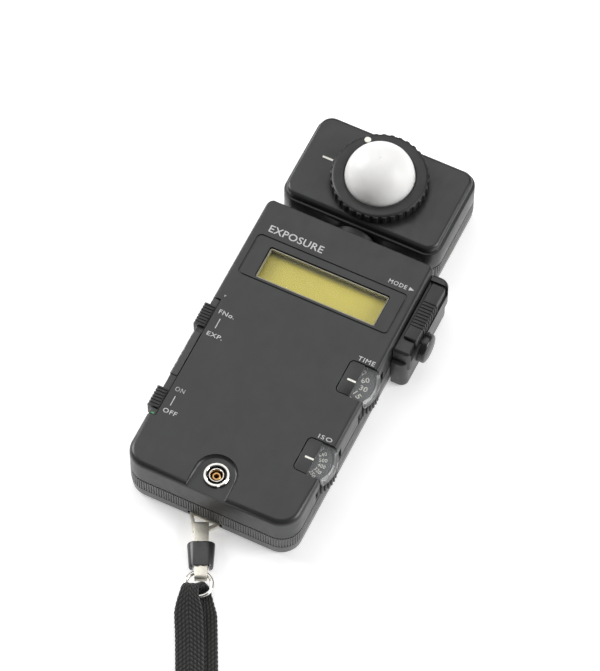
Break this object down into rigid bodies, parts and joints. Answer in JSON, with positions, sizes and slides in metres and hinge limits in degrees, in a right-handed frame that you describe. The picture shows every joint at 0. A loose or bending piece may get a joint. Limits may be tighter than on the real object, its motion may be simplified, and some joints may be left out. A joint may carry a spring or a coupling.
{
  "type": "handheld light meter",
  "caption": "Pocket exposure meter with a swivelling head, dome diffuser, display window, thumbwheel dials, side switches, sync socket and wrist strap.",
  "frame": {"origin": "middle of the body's flat back", "axes": "+X to the right across the face, +Y from the strap end to the sensor head, +Z out of the face"},
  "size_m": [0.0794, 0.3228, 0.0356],
  "materials": {
    "case_plastic": "satin charcoal, lightly textured",
    "control_plastic": "satin black, ribbed",
    "button_plastic": "smooth mid grey",
    "display_pane": "clear, polished",
    "display_cell": "liquid crystal, yellow olive",
    "clear_plastic": "clear acrylic",
    "scale_grey": "grey, printed",
    "diffuser_white": "translucent opal",
    "sensor_glass": "correction filter",
    "silicon_cell": "dark blue, glossy",
    "circuit_board": "green solder mask",
    "switch_wafer": "brown phenolic",
    "insulator": "cream nylon",
    "chromed_metal": "bright plate",
    "plated_steel": "matt nickel",
    "contact_brass": "plated",
    "battery_jacket": "printed foil jacket",
    "sleeve_rubber": "satin black",
    "webbing": "coarse woven black"
  },
  "bodies": {
    "case": {"front_cover": "case_plastic", "rear_cover": "case_plastic", "case_screw_1": "plated_steel", "case_screw_2": "plated_steel", "case_screw_3": "plated_steel", "case_screw_4": "plated_steel", "display_window": "display_pane", "display_panel": "display_cell", "display_holder": "control_plastic", "main_circuit_board": "circuit_board", "time_dial_window": "clear_plastic", "time_dial_pin": "plated_steel", "time_dial_switch": "switch_wafer", "speed_dial_window": "clear_plastic", "speed_dial_pin": "plated_steel", "speed_dial_switch": "switch_wafer", "switch_rail": "case_plastic", "slide_switch_board": "circuit_board", "side_housing": "case_plastic", "button_microswitch": "control_plastic", "sync_socket_shell": "chromed_metal", "sync_inner_tube": "chromed_metal", "sync_insulator": "insulator", "sync_contact": "contact_brass", "sync_nut": "plated_steel", "battery_cell": "battery_jacket", "battery_spring": "plated_steel", "battery_contact_plate": "plated_steel", "strap_lug": "plated_steel"},
    "time_dial": {"time_scale_disc": "scale_grey", "time_dial_wheel": "control_plastic"},
    "speed_dial": {"speed_scale_disc": "scale_grey", "speed_dial_wheel": "control_plastic"},
    "power_switch": {"power_switch_knob": "control_plastic"},
    "function_switch": {"function_switch_knob": "control_plastic"},
    "mode_switch": {"mode_slider": "control_plastic"},
    "button": {"measuring_button": "button_plastic", "button_spring": "plated_steel"},
    "door": {"battery_door": "case_plastic"},
    "head": {"swivel_bush": "control_plastic", "swivel_retaining_ring": "contact_brass", "head_front_cover": "case_plastic", "head_rear_cover": "case_plastic", "head_screw_1": "plated_steel", "head_screw_2": "plated_steel", "bayonet_mount_ring": "chromed_metal", "sensor_filter": "sensor_glass", "sensor_cell": "silicon_cell", "sensor_board": "circuit_board"},
    "diffuser": {"diffuser_ring": "control_plastic", "diffuser_dome": "diffuser_white"},
    "strap": {"strap_tab": "plated_steel", "strap_sleeve": "sleeve_rubber", "strap_ring": "plated_steel", "wrist_strap": "webbing"}
  },
  "joints": [
    {"name": "head_swivel", "type": "hinge", "parent": "case", "child": "head", "pos_m": [0, 0.05325, 0.0105], "axis": [0, 1, 0], "range_deg": [-90, 180]},
    {"name": "diffuser_turn", "type": "hinge", "parent": "head", "child": "diffuser", "pos_m": [0, 0.0723, 0.0225], "axis": [0, 0, 1], "range_deg": [0, 48]},
    {"name": "time_dial_turn", "type": "hinge", "parent": "case", "child": "time_dial", "pos_m": [0.021, 0.0045, 0.0133], "axis": [0, 0, 1], "range_deg": [-150, 150]},
    {"name": "speed_dial_turn", "type": "hinge", "parent": "case", "child": "speed_dial", "pos_m": [0.021, -0.0255, 0.0133], "axis": [0, 0, 1], "range_deg": [-80, 240]},
    {"name": "function_switch_slide", "type": "slide", "parent": "case", "child": "function_switch", "axis": [0, 1, 0], "range_m": [0, 0.0024]},
    {"name": "power_switch_slide", "type": "slide", "parent": "case", "child": "power_switch", "axis": [0, 1, 0], "range_m": [0, 0.004]},
    {"name": "mode_slide", "type": "slide", "parent": "case", "child": "mode_switch", "axis": [0, 1, 0], "range_m": [-0.0045, 0]},
    {"name": "measuring_button_press", "type": "slide", "parent": "case", "child": "button", "axis": [-1, 0, 0], "range_m": [0, 0.0012], "stiffness_N_per_m": 400, "deforming": ["button_spring"]},
    {"name": "battery_door_slide", "type": "slide", "parent": "case", "child": "door", "axis": [0, -1, 0], "range_m": [0, 0.0025]},
    {"name": "strap_swing", "type": "hinge", "parent": "case", "child": "strap", "pos_m": [-0.001, -0.05315, 0.003], "axis": [0, 0, 1], "range_deg": [-71, 19]}
  ]
}
